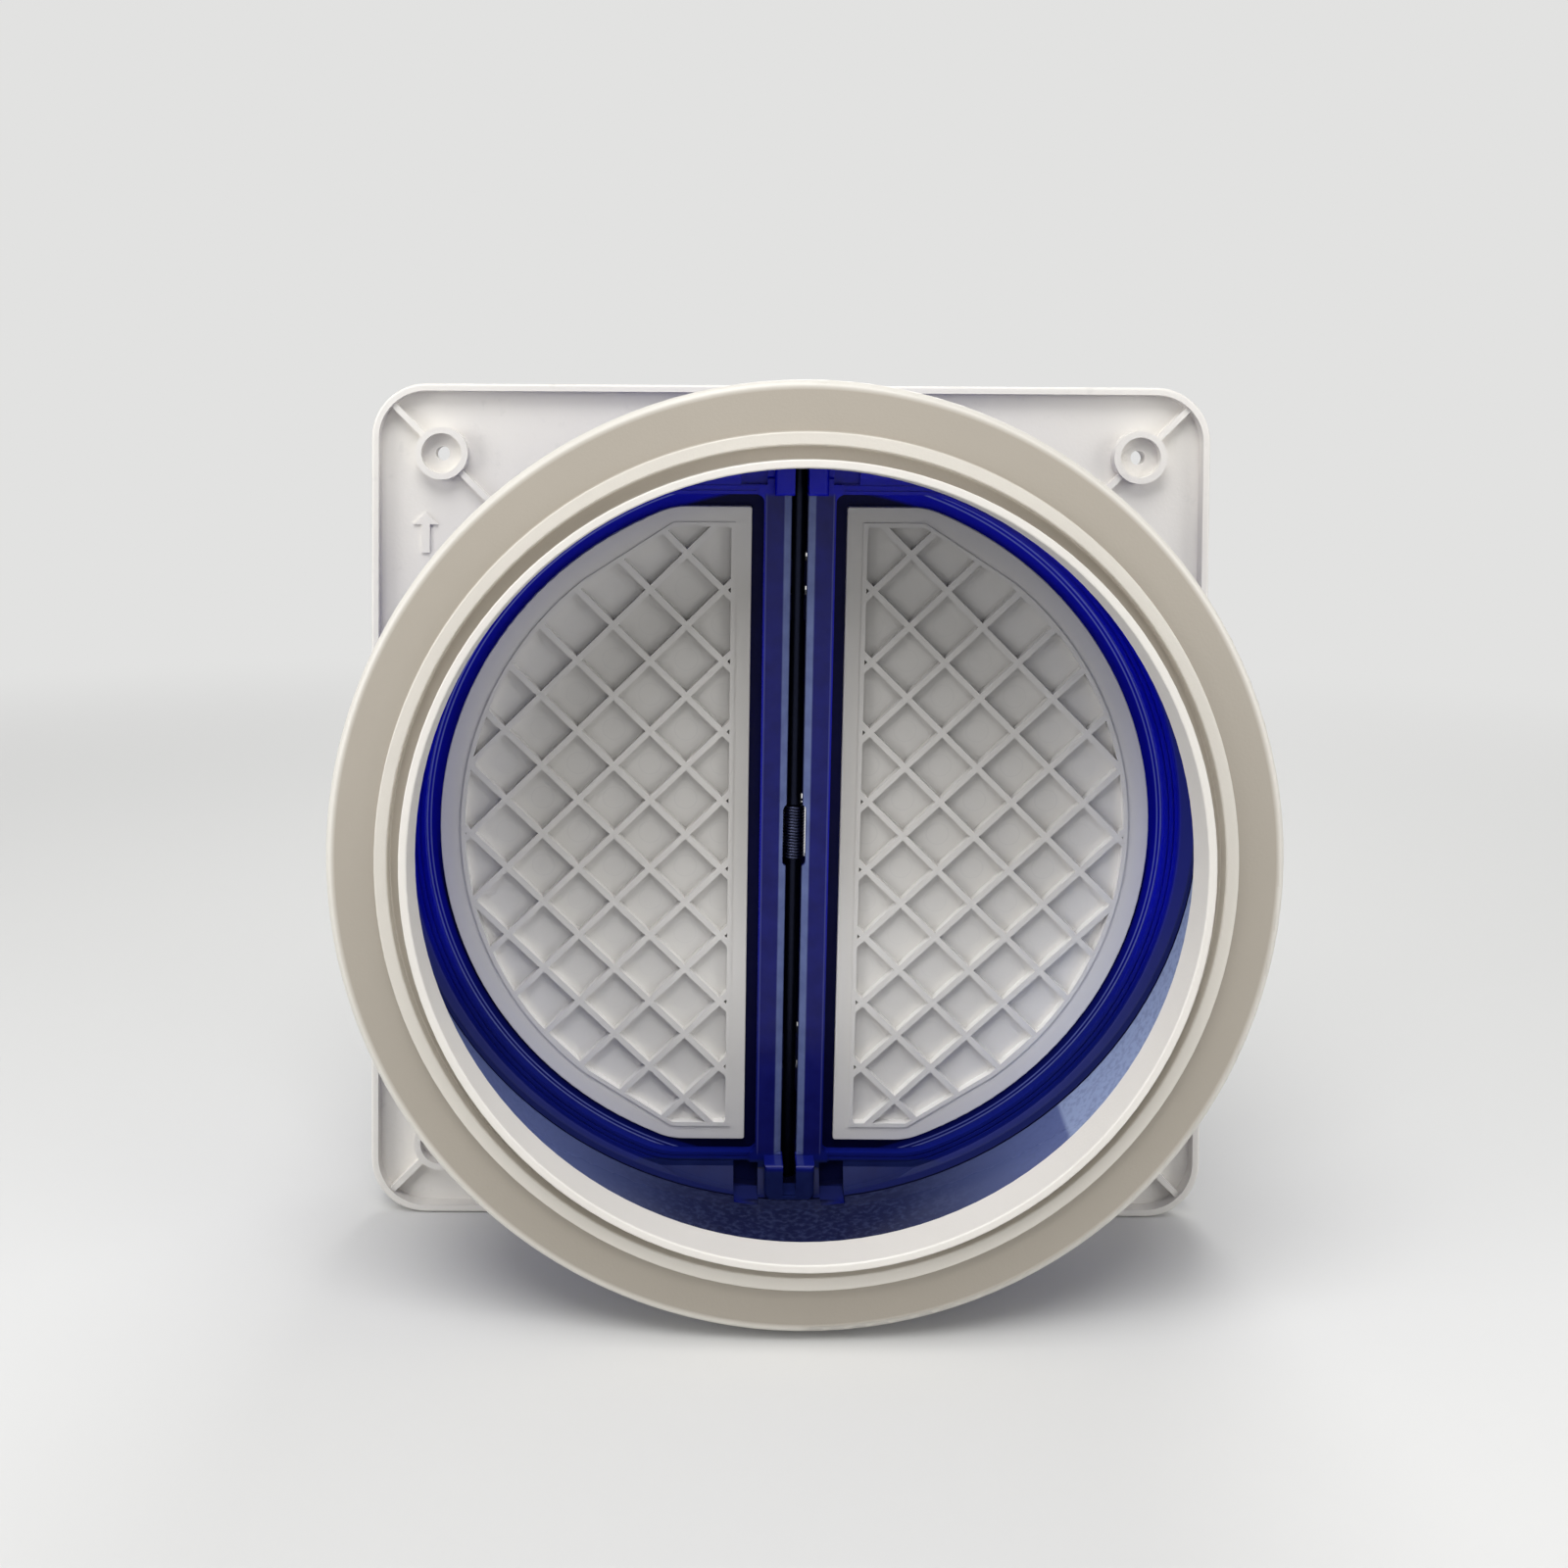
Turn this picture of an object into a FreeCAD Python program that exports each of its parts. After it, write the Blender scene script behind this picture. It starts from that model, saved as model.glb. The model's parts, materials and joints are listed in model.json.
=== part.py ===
"""Backdraft damper with two half-moon flaps on an inclined seat.

Frame: X to the right, Z up (the plate's arrow points up), Y away from the room and
into the flue. The origin is the centre of the mounting plate's back face. Lengths are
millimetres, angles degrees.
"""
import math
import os

import FreeCAD
import Part

V = FreeCAD.Vector

# Mounting plate: a shallow square tray with its open side to the room.
plate_margin = 7.5
plate_corner_r = 12.0
plate_depth = 5.5
plate_panel_t = 2.5
rim_t = 1.6
rim_round = 0.6
screw_inset = 15.3
screw_hole_r = 1.6
boss_r = 5.8
boss_wall = 1.4
boss_floor_t = 3.2
rib_t = 1.3
rib_drop = 0.8
arrow_inset = 11.5
arrow_below = 17.5
arrow_height = 9.0
arrow_width = 5.4
arrow_shaft = 1.8
arrow_raise = 0.5

# Tube of the valve body: the same for both sides of the plate.
tube_in_r = 82.0
tube_t = 2.5
tube_rear = 50.0
rear_land = 1.0
rear_step = 0.6
flange_t = 2.0
flange_overhang = 3.5
plate_gap = 0.2

# Duct collar in front of the tube. Its seat's height counts from the plate's rim plane,
# and the rises from that seat, which is the tube's front end.
collar_seat_h = 47.3
collar_web_t = 2.3
collar_inset = 8.6
spigot_t = 1.6
spigot_rise = 8.4
groove_w = 2.7
shoulder_w = 2.5
shoulder_rise = 5.0
brim_root_rise = 3.3
brim_edge_rise = 2.1
lip_overhang = 2.95
lip_t = 3.4
lip_round = 1.6
skirt_t = 2.4
skirt_h = 6.5
skirt_gap = 0.15

# Inclined seat. Its own frame has u to the right, v up the slope, w to the room.
seat_tilt = 8.0
seat_h = 19.9
seat_drop = 2.35
seat_front_w = 0.4
seat_t = 2.0
slope_rise = 4.0
slope_run = 4.0
slope_chord = 10.0
land_w = 3.1
land_flat_w = 3.2
line_w = 0.35
line_depth = 0.3
line_pitch = 1.05
line_count = 2
edge_round = 0.35
crease_w = 0.5
crease_depth = 0.5

# Half-moon panels, measured on the flap's face.
panel_inset = 8.65
panel_flat_cut = 4.45
panel_straight = 9.55
panel_corner_r = 0.5
panel_blend_r = 14.0
flap_t = 3.5
border_drop = 0.3
sheet_t = 1.9
border_straight = 4.1
border_flat = 4.1
border_curve = 5.2
bead_w = 0.9
oblique_lead = 3.9
oblique_drop = 12.1
rib_w = 1.25
lattice_diag = 14.82
lattice_u = 15.1

# Band of soft seal that shows between a panel and its opening.
gap_straight = 2.4
gap_flat = 2.6
gap_curve = 3.1
seal_lap = 1.25
seal_t = 0.9
seal_gap = 0.1
ledge_w = 2.2

# Hinge along the spine.
pin_r = 1.6
pin_fit = 0.05
pin_skim = 0.1
knuckle_wall = 1.35
knuckle_len = 5.2
knuckle_far_inset = 16.3
knuckle_near_inset = 23.3
snap_slot = 2.6
channel_gap = 0.4
tunnel_wall = 1.3
tunnel_gap = 0.6
arm_reach = 16.0
arm_t = 1.6
spine_raise = 0.5
slot_edge_r = 3.05
block_half = 5.3
block_rear_half = 4.7
block_len = 8.6
block_raise = 4.6
block_wall = 1.2
block_slot_half = 1.4
pocket_in = 6.6
pocket_out = 11.8
pocket_len = 6.6
pocket_sink = 1.1

# Closing spring round the pin, seen through the wider middle of the slot.
window_half = 2.4
window_len = 13.6
spring_wire = 0.6
spring_turns = 10
spring_pitch = 1.15
spring_clear = 0.25
spring_arm = 19.0
spring_skim = 0.1

# Derived values.
room_y = -plate_depth
tube_out_r = tube_in_r + tube_t
plate_half = tube_out_r + plate_margin
screw_reach = plate_half - screw_inset
spigot_bore_r = tube_in_r - collar_inset
seat_y = room_y - seat_h
panel_r = tube_in_r - panel_inset
panel_flat = panel_r - panel_flat_cut
pin_depth = flap_t + pin_skim
open_straight = panel_straight - gap_straight
open_flat = panel_flat + gap_flat
open_r = panel_r + gap_curve
seal_front_w = seat_front_w - seat_t - seal_gap
seal_back_w = seal_front_w - seal_t
seat_back_w = seat_front_w - seat_t
knuckle_r = pin_r + pin_fit + knuckle_wall
channel_r = knuckle_r + channel_gap
spine_front_w = seat_front_w + spine_raise
pin_half = open_flat + block_len - block_wall
seat_frame = FreeCAD.Placement(V(0, seat_y, -seat_drop), FreeCAD.Rotation(V(1, 0, 0), 90.0 + seat_tilt))


def cylinder_y(radius, y0, y1):
    """Solid cylinder about the duct axis between two Y values."""
    return Part.makeCylinder(radius, y1 - y0, V(0, y0, 0), V(0, 1, 0))


def ring_y(outer, inner, y0, y1):
    return cylinder_y(outer, y0, y1).cut(cylinder_y(inner, y0, y1))


def box(x0, x1, y0, y1, z0, z1):
    return Part.makeBox(x1 - x0, y1 - y0, z1 - z0, V(x0, y0, z0))


def placed(shape):
    """Moves a shape from the seat's frame into the part's frame."""
    moved = shape.copy()
    moved.Placement = seat_frame.multiply(moved.Placement)
    return moved


def joined(shapes):
    base = shapes[0]
    if len(shapes) > 1:
        base = base.multiFuse(shapes[1:])
    return base.removeSplitter()


def polygon_face(points):
    wire = Part.makePolygon([V(*p) for p in points] + [V(*points[0])])
    return Part.Face(wire)


def vertical_edges(shape, corners, axis=V(0, 0, 1)):
    """Edges along the axis that pass within half a millimetre of a (u, v) corner."""
    found = []
    for edge in shape.Edges:
        if len(edge.Vertexes) != 2 or edge.Curve.TypeId != "Part::GeomLine":
            continue
        run = edge.Vertexes[1].Point.sub(edge.Vertexes[0].Point)
        if abs(run.normalize().dot(axis)) < 0.999:
            continue
        point = edge.Vertexes[0].Point
        if any(math.hypot(point.x - u, point.y - v) < 0.5 for u, v in corners):
            found.append(edge)
    return found


def half_moon(straight, flat, radius, w0, w1, corner_r=0.0, blend_r=0.0):
    """Prism with a half-moon outline: one straight side, two flats and an arc."""
    meet = math.sqrt(radius ** 2 - flat ** 2)
    low_in = V(straight, -flat, w0)
    low_out = V(meet, -flat, w0)
    top_out = V(meet, flat, w0)
    top_in = V(straight, flat, w0)
    outline = Part.Wire([
        Part.makeLine(low_in, low_out),
        Part.Arc(low_out, V(radius, 0, w0), top_out).toShape(),
        Part.makeLine(top_out, top_in),
        Part.makeLine(top_in, low_in),
    ])
    solid = Part.Face(outline).extrude(V(0, 0, w1 - w0))
    if blend_r:
        solid = solid.makeFillet(blend_r, vertical_edges(solid, [(meet, -flat), (meet, flat)]))
    if corner_r:
        solid = solid.makeFillet(corner_r, vertical_edges(solid, [(straight, -flat), (straight, flat)]))
    return solid


def flatted_disc_wire(radius, flat, w):
    """Circle with a flat at its top and bottom, as a closed wire."""
    meet = math.sqrt(radius ** 2 - flat ** 2)
    right = Part.Arc(V(meet, -flat, w), V(radius, 0, w), V(meet, flat, w)).toShape()
    left = Part.Arc(V(-meet, flat, w), V(-radius, 0, w), V(-meet, -flat, w)).toShape()
    top = Part.makeLine(V(meet, flat, w), V(-meet, flat, w))
    low = Part.makeLine(V(-meet, -flat, w), V(meet, -flat, w))
    return Part.Wire([right, top, left, low])


def along_pin(radius, v0, v1):
    """Cylinder on the hinge axis in the seat's frame."""
    return Part.makeCylinder(radius, v1 - v0, V(0, v0, -pin_depth), V(0, 1, 0))


def mirrored(shape):
    return shape.mirror(V(0, 0, 0), V(1, 0, 0))


def mounting_plate():
    half = plate_half
    tray = box(-half, half, room_y, 0, -half, half)
    upright = [e for e in tray.Edges if abs(e.tangentAt(e.FirstParameter).y) > 0.999]
    tray = tray.makeFillet(plate_corner_r, upright)
    front = [e for e in tray.Edges if abs(e.CenterOfMass.y - room_y) < 0.01]
    tray = tray.makeFillet(rim_round, front)
    inner = half - rim_t
    well = box(-inner, inner, room_y - 1, -plate_panel_t, -inner, inner)
    upright = [e for e in well.Edges if abs(e.tangentAt(e.FirstParameter).y) > 0.999]
    well = well.makeFillet(plate_corner_r - rim_t, upright)
    solid = tray.cut(well)
    reach = screw_reach
    corner = half - rim_t - (plate_corner_r - rim_t) * (1 - math.sqrt(0.5))
    additions = []
    holes = []
    for sx in (-1, 1):
        for sz in (-1, 1):
            spot = V(sx * reach, 0, sz * reach)
            boss = Part.makeCylinder(boss_r, plate_depth, spot, V(0, -1, 0))
            additions.append(boss)
            sink_depth = plate_depth - boss_floor_t
            sink_floor = spot + V(0, -boss_floor_t, 0)
            sink = Part.makeCylinder(boss_r - boss_wall, sink_depth + 1, sink_floor, V(0, -1, 0))
            holes.append(sink)
            holes.append(Part.makeCylinder(screw_hole_r, plate_depth + 2, spot + V(0, 1, 0), V(0, -1, 0)))
            turn = math.degrees(math.atan2(sz, sx))
            start = tube_out_r + flange_overhang + plate_gap
            length = corner * math.sqrt(2) - start
            rib_height = plate_depth - rib_drop
            rib = Part.makeBox(length, rib_height, rib_t, V(start, -rib_height, -rib_t / 2))
            rib.rotate(V(0, 0, 0), V(0, 1, 0), -turn)
            additions.append(rib)
    solid = joined([solid] + additions)
    for hole in holes:
        solid = solid.cut(hole)
    solid = solid.cut(cylinder_y(tube_out_r + plate_gap, room_y - 1, 1))
    arrow_x = arrow_inset - plate_half
    arrow_z = screw_reach - arrow_below
    low = arrow_z - arrow_height / 2
    neck = arrow_z + arrow_height / 2 - arrow_width / 2
    face_y = -plate_panel_t - arrow_raise
    right_half = [(arrow_shaft / 2, low), (arrow_shaft / 2, neck), (arrow_width / 2, neck)]
    left_half = [(-x, z) for x, z in reversed(right_half)]
    points = right_half + [(0, arrow_z + arrow_height / 2)] + left_half
    arrow = polygon_face([(arrow_x + x, face_y, z) for x, z in points])
    arrow = arrow.extrude(V(0, arrow_raise + 0.2, 0))
    return joined([solid, arrow])


def duct_collar():
    """Stepped ring that carries the duct; its profile turns about the duct axis."""
    bore = spigot_bore_r
    spigot = bore + spigot_t
    shoulder_in = spigot + groove_w
    shoulder_out = shoulder_in + shoulder_w
    skirt_in = tube_out_r + skirt_gap
    skirt_out = skirt_in + skirt_t
    lip_r = skirt_out + lip_overhang
    edge = lip_r - lip_round
    turn = lip_round * math.sqrt(0.5)
    floor_h = collar_seat_h + collar_web_t
    spigot_h = collar_seat_h + spigot_rise
    shoulder_h = collar_seat_h + shoulder_rise
    brim_root_h = collar_seat_h + brim_root_rise
    brim_edge_h = collar_seat_h + brim_edge_rise
    lip_low = brim_edge_h - lip_t

    def at(r, h):
        return V(r, room_y - h, 0)

    knee = at(edge + turn, brim_edge_h - lip_round + turn)
    parts = [
        Part.makeLine(at(bore, collar_seat_h), at(bore, spigot_h)),
        Part.makeLine(at(bore, spigot_h), at(spigot, spigot_h)),
        Part.makeLine(at(spigot, spigot_h), at(spigot, floor_h)),
        Part.makeLine(at(spigot, floor_h), at(shoulder_in, floor_h)),
        Part.makeLine(at(shoulder_in, floor_h), at(shoulder_in, shoulder_h)),
        Part.makeLine(at(shoulder_in, shoulder_h), at(shoulder_out, shoulder_h)),
        Part.makeLine(at(shoulder_out, shoulder_h), at(shoulder_out, brim_root_h)),
        Part.makeLine(at(shoulder_out, brim_root_h), at(edge, brim_edge_h)),
        Part.Arc(at(edge, brim_edge_h), knee, at(lip_r, brim_edge_h - lip_round)).toShape(),
        Part.makeLine(at(lip_r, brim_edge_h - lip_round), at(lip_r, lip_low)),
        Part.makeLine(at(lip_r, lip_low), at(skirt_out, lip_low)),
        Part.makeLine(at(skirt_out, lip_low), at(skirt_out, collar_seat_h - skirt_h)),
        Part.makeLine(at(skirt_out, collar_seat_h - skirt_h), at(skirt_in, collar_seat_h - skirt_h)),
        Part.makeLine(at(skirt_in, collar_seat_h - skirt_h), at(skirt_in, collar_seat_h)),
        Part.makeLine(at(skirt_in, collar_seat_h), at(bore, collar_seat_h)),
    ]
    solid = Part.Face(Part.Wire(parts)).revolve(V(0, 0, 0), V(0, 1, 0), 360)
    if solid.Volume < 0:
        solid.reverse()
    soft = []
    for e in solid.Edges:
        if e.Curve.TypeId != "Part::GeomCircle":
            continue
        h = room_y - e.CenterOfMass.y if abs(e.CenterOfMass.x) < 1e-6 else room_y - e.Vertexes[0].Point.y
        if abs(h - spigot_h) < 0.01 or abs(h - shoulder_h) < 0.01:
            soft.append(e)
    return solid.makeFillet(edge_round, soft)


def knuckle_middles():
    """Places along the pin of the right-hand flap's knuckles; turned round, they are the left one's."""
    return [open_flat - knuckle_near_inset, knuckle_far_inset - open_flat]


def tunnels():
    """Round troughs that close the channel behind the pin, between the knuckles and the spring."""
    stops = [(-window_len / 2, window_len / 2)]
    for middle in knuckle_middles():
        for v in (middle, -middle):
            stops.append((v - knuckle_len / 2 - tunnel_gap, v + knuckle_len / 2 + tunnel_gap))
    stops.sort()
    starts = [-open_flat - 0.3] + [end for _, end in stops]
    ends = [start for start, _ in stops] + [open_flat + 0.3]
    reach = 2 * channel_r
    behind = box(-reach, reach, -open_flat - 1, open_flat + 1, -2 * reach, seat_back_w + 0.2)
    runs = [(v0, v1) for v0, v1 in zip(starts, ends) if v1 - v0 > 1.0]
    return [along_pin(channel_r + tunnel_wall, v0, v1).common(behind) for v0, v1 in runs]


def opening(side):
    """Through cut for one flap's half-moon opening, with softened edges."""
    blend = panel_blend_r + gap_curve
    cut = half_moon(open_straight, open_flat, open_r, seat_back_w - 3, spine_front_w + 6, 1.6, blend)
    return cut if side > 0 else mirrored(cut)


def valve_body():
    """Tube with the inclined seat, the hinge spine and its two end blocks."""
    front_y = room_y - collar_seat_h
    tube = ring_y(tube_out_r, tube_in_r, front_y, rear_land)
    far_tube = ring_y(tube_out_r - rear_step, tube_in_r, rear_land, tube_rear)
    flange_y = -plate_panel_t
    flange = ring_y(tube_out_r + flange_overhang, tube_in_r, flange_y - flange_t, flange_y)
    span = 2.2 * tube_in_r
    slab = box(-span / 2, span / 2, -span / 2, span / 2, seat_back_w, seat_front_w + slope_rise)
    seat = placed(slab).common(cylinder_y(tube_in_r + tube_t / 2, front_y, tube_rear))
    land_r = open_r + land_w
    land_flat = open_flat + land_flat_w
    over = 0.6
    grow = (slope_rise + over) / slope_rise
    lower = flatted_disc_wire(land_r, land_flat, seat_front_w)
    upper_r = land_r + slope_run * grow
    upper_flat = math.sqrt(upper_r ** 2 - slope_chord ** 2)
    upper = flatted_disc_wire(upper_r, upper_flat, seat_front_w + slope_rise + over)
    dish = Part.makeLoft([lower, upper], True, True)
    seat = seat.cut(placed(dish))

    spine_half = open_straight + 1.2
    spine = box(-spine_half, spine_half, -land_flat, land_flat, seat_back_w, spine_front_w)
    blocks = []
    for end in (-1, 1):
        v0, v1 = sorted((end * (open_flat + 0.3), end * (open_flat + 0.3 + block_len)))
        front = box(-block_half, block_half, v0, v1, seat_back_w, seat_front_w + block_raise)
        far = [e for e in front.Edges if abs(e.tangentAt(e.FirstParameter).z) > 0.999
               and abs(e.CenterOfMass.y) > open_flat + 1.0]
        front = front.makeFillet(2.2, far)
        top = [e for e in front.Edges if abs(e.CenterOfMass.z - seat_front_w - block_raise) < 0.01]
        front = front.makeFillet(0.8, top)
        rear = box(-block_rear_half, block_rear_half, v0, v1, -pin_depth - pin_r - block_wall, seat_back_w)
        blocks += [front, rear]
    solid = joined([tube, far_tube, flange, seat, placed(joined([spine] + blocks + tunnels()))])

    cuts = [opening(1), opening(-1)]
    cuts.append(along_pin(channel_r, -open_flat - 0.3, open_flat + 0.3))
    cuts.append(along_pin(pin_r, -pin_half, pin_half))
    slot_top = spine_front_w + 0.1
    slot = box(-pin_r, pin_r, -open_flat, open_flat, -pin_depth, slot_top)
    mouth_top = seat_front_w + block_raise + 1
    mouth = box(-block_slot_half, block_slot_half, -pin_half, pin_half, -pin_depth, mouth_top)
    window = box(-window_half, window_half, -window_len / 2, window_len / 2, -pin_depth, slot_top)
    ends = [e for e in window.Edges if abs(e.tangentAt(e.FirstParameter).z) > 0.999]
    window = window.makeFillet(1.2, ends)
    wedge_half = slot_edge_r + 0.1
    wedge_profile = [(-wedge_half, slot_top), (wedge_half, slot_top), (pin_r, 0.0), (-pin_r, 0.0)]
    wedge_face = polygon_face([(u, -open_flat, w) for u, w in wedge_profile])
    wedge = wedge_face.extrude(V(0, 2 * open_flat, 0))
    cuts += [slot, mouth, window, wedge]
    for side in (-1, 1):
        for end in (-1, 1):
            u0, u1 = sorted((side * pocket_in, side * pocket_out))
            v0, v1 = sorted((end * (land_flat - 1.2), end * (land_flat - 1.2 + pocket_len)))
            cuts.append(box(u0, u1, v0, v1, seat_front_w - pocket_sink, seat_front_w + slope_rise + 3))
    for step in range(line_count):
        grown = 0.7 + step * line_pitch
        for side in (-1, 1):
            outer = half_moon(open_straight - 0.2, open_flat + grown + line_w, open_r + grown + line_w,
                              seat_front_w - line_depth, seat_front_w + 0.2, 0, panel_blend_r + gap_curve)
            inner = half_moon(open_straight - 0.2, open_flat + grown, open_r + grown,
                              seat_front_w - 2, seat_front_w + 1, 0, panel_blend_r + gap_curve)
            line = outer.cut(inner)
            line = line.common(box(spine_half + 0.4, 2 * open_r, -2 * open_r, 2 * open_r, -9, 9))
            cuts.append(line if side > 0 else mirrored(line))
    level = seat_front_w + slope_rise
    crease = placed(box(-span, span, -span, span, level - crease_w / 2, level + crease_w / 2))
    crease = crease.common(ring_y(tube_in_r + crease_depth, tube_in_r - 1, front_y, room_y))
    solid = solid.cut(Part.makeCompound([placed(c) for c in cuts]))
    return solid.cut(crease).removeSplitter()


def field_prism(w0, w1, inset=0.0):
    """Recessed field of a right-hand flap: the panel less its border."""
    straight = panel_straight + border_straight + inset
    flat = panel_flat - border_flat - inset
    radius = panel_r - border_curve - inset
    start = math.sqrt(radius ** 2 - flat ** 2) + oblique_lead
    turn_v = flat - oblique_drop
    turn_u = math.sqrt(radius ** 2 - turn_v ** 2)
    outline = Part.Wire([
        Part.makeLine(V(straight, -flat, w0), V(start, -flat, w0)),
        Part.makeLine(V(start, -flat, w0), V(turn_u, -turn_v, w0)),
        Part.Arc(V(turn_u, -turn_v, w0), V(radius, 0, w0), V(turn_u, turn_v, w0)).toShape(),
        Part.makeLine(V(turn_u, turn_v, w0), V(start, flat, w0)),
        Part.makeLine(V(start, flat, w0), V(straight, flat, w0)),
        Part.makeLine(V(straight, flat, w0), V(straight, -flat, w0)),
    ])
    return Part.Face(outline).extrude(V(0, 0, w1 - w0))


def lattice(w0, w1):
    """Bars of the diagonal grid, long enough to cross the whole field."""
    bars = []
    reach = panel_r + panel_flat
    count = int(reach / lattice_diag) + 2
    for turn in (45, -45):
        for n in range(-count, count + 1):
            crossing = lattice_u + n * lattice_diag
            bar = Part.makeBox(2 * reach, rib_w, w1 - w0, V(-reach, -rib_w / 2, w0))
            bar.rotate(V(0, 0, 0), V(0, 0, 1), turn)
            bar.translate(V(crossing, lattice_diag / 2, 0))
            bars.append(bar)
    return bars


def flap():
    """Right-hand flap in the seat's frame; the left one is the same moulding turned round."""
    panel = half_moon(panel_straight, panel_flat, panel_r,
                      -flap_t, -border_drop, panel_corner_r, panel_blend_r)
    rim = [e for e in panel.Edges if abs(e.CenterOfMass.z + border_drop) < 0.01]
    panel = panel.makeFillet(0.25, rim)
    ledge = half_moon(panel_straight - ledge_w, panel_flat + ledge_w, panel_r + ledge_w,
                      -flap_t, seal_back_w, panel_corner_r + ledge_w, panel_blend_r + ledge_w)
    bead = field_prism(-flap_t + 0.5, 0, -bead_w).cut(field_prism(-flap_t, 1))
    floor = sheet_t - flap_t
    field = field_prism(floor, 1)
    bars = [bar.common(field_prism(floor - 0.2, 0, -0.2)) for bar in lattice(floor - 0.2, 0)]
    bars = [bar for bar in bars if bar.Volume > 0.01]
    solid = joined([panel, bead, ledge])
    solid = solid.cut(field)
    arms = []
    bores = []
    for middle in knuckle_middles():
        v0 = middle - knuckle_len / 2
        v1 = middle + knuckle_len / 2
        arms.append(box(0, arm_reach, v0, v1, -flap_t - arm_t, -flap_t + 0.05))
        arms.append(along_pin(knuckle_r, v0, v1))
        bores.append(along_pin(pin_r + pin_fit, v0 - 1, v1 + 1))
        bores.append(box(-snap_slot / 2, snap_slot / 2, v0 - 1, v1 + 1, -pin_depth, 2))
    solid = joined([solid] + bars + arms)
    return solid.cut(Part.makeCompound(bores)).removeSplitter()


def seal():
    """Soft flat ring round a right-hand panel, lying on the flap's ledge."""
    lap = seal_lap
    outer = half_moon(open_straight - lap, open_flat + lap, open_r + lap, seal_back_w, seal_front_w,
                      2.0, panel_blend_r + gap_curve + lap)
    inner = half_moon(panel_straight, panel_flat, panel_r, seal_back_w - 1, seal_front_w + 1,
                      panel_corner_r, panel_blend_r)
    return outer.cut(inner)


def turned(shape):
    """The same moulding on the other side of the pin, turned half round in the seat."""
    other = shape.copy()
    other.rotate(V(0, 0, 0), V(0, 0, 1), 180)
    return other


def hinge_pin():
    pin = along_pin(pin_r, -pin_half, pin_half)
    ends = [e for e in pin.Edges if e.Curve.TypeId == "Part::GeomCircle"]
    return pin.makeChamfer(0.3, ends)


def torsion_spring():
    """Coil round the pin whose two arms run, tangent to it, behind the two flaps."""
    wire_r = spring_wire / 2
    coil_r = pin_r + spring_clear + wire_r
    tip_w = pin_depth - flap_t - spring_skim - wire_r
    leave = math.atan2(tip_w, spring_arm) - math.acos(coil_r / math.hypot(spring_arm, tip_w))
    turns = spring_turns + 0.5 + leave / math.pi
    length = spring_pitch * turns
    helix = Part.makeHelix(spring_pitch, length, coil_r, 0, True)
    helix.rotate(V(0, 0, 0), V(0, 0, 1), math.degrees(leave))
    helix.rotate(V(0, 0, 0), V(1, 0, 0), 90)
    helix.translate(V(0, length / 2, -pin_depth))
    first = helix.Vertexes[0].Point
    last = helix.Vertexes[-1].Point
    right_tip = V(spring_arm, first.y, tip_w - pin_depth)
    left_tip = V(-spring_arm, last.y, tip_w - pin_depth)
    path = Part.Wire([Part.makeLine(right_tip, first)] + helix.Edges + [Part.makeLine(last, left_tip)])
    profile = Part.Wire(Part.makeCircle(wire_r, right_tip, first.sub(right_tip)))
    return path.makePipeShell([profile], True, True)


def main():
    os.makedirs("parts", exist_ok=True)
    right_flap = flap()
    right_seal = seal()
    nodes = {
        "mounting_plate": mounting_plate(),
        "duct_collar": duct_collar(),
        "valve_body": valve_body(),
        "hinge_pin": placed(hinge_pin()),
        "torsion_spring": placed(torsion_spring()),
        "flap_right": placed(right_flap),
        "flap_left": placed(turned(right_flap)),
        "seal_right": placed(right_seal),
        "seal_left": placed(turned(right_seal)),
    }
    for name, shape in nodes.items():
        bounds = shape.BoundBox
        sides = [round(v, 2) for v in (bounds.XLength, bounds.YLength, bounds.ZLength)]
        print(name, len(shape.Solids), round(shape.Volume, 1), shape.isValid(), sides)
        shape.exportStep("parts/" + name + ".step")


main()
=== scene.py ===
# %% [markdown]
# # A backdraft damper for a wall duct
# The damper screws to a wall behind a cooker hood. Air from the hood pushes two half-moon flaps
# open, and a light spring and their own weight shut them again when the air tries to come back.
# The solids come from a CAD model, so their sizes are already right. This lesson gives them the
# finishes of the real mouldings, adds the spring as wound wire, and sets up a small studio.

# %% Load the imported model
import json
import math

import bmesh
import bpy
from mathutils import Matrix, Vector

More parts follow.
